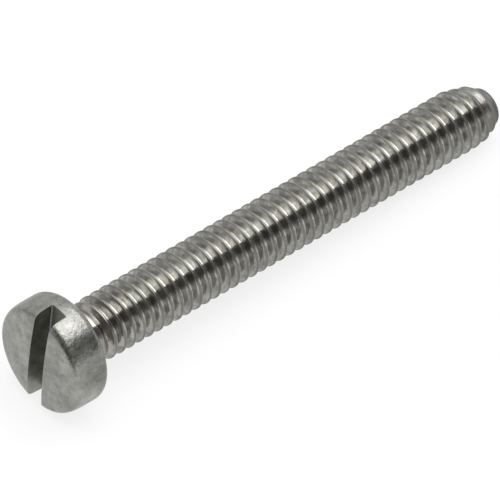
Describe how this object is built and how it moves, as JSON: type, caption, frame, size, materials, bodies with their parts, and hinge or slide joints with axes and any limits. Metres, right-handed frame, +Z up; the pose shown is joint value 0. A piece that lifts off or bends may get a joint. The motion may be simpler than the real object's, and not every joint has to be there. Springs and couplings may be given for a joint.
{
  "type": "machine screw",
  "caption": "Slotted cheese-head machine screw, threaded along its whole shank, with a rounded head top, a square-bottomed slot and a chamfered tip.",
  "frame": {"origin": "on the ground under the middle of the screw's length, as it lies on the rim of its head and the crests near its tip", "axes": "+X from the head toward the tip, +Z up; the screw's own axis lies in the XZ plane and falls toward the tip by about 3 degrees"},
  "size_m": [0.0216, 0.0042, 0.0043],
  "materials": {
    "steel": "tumbled head, bright rolled thread"
  },
  "bodies": {
    "root": {"screw": "steel"}
  },
  "joints": []
}
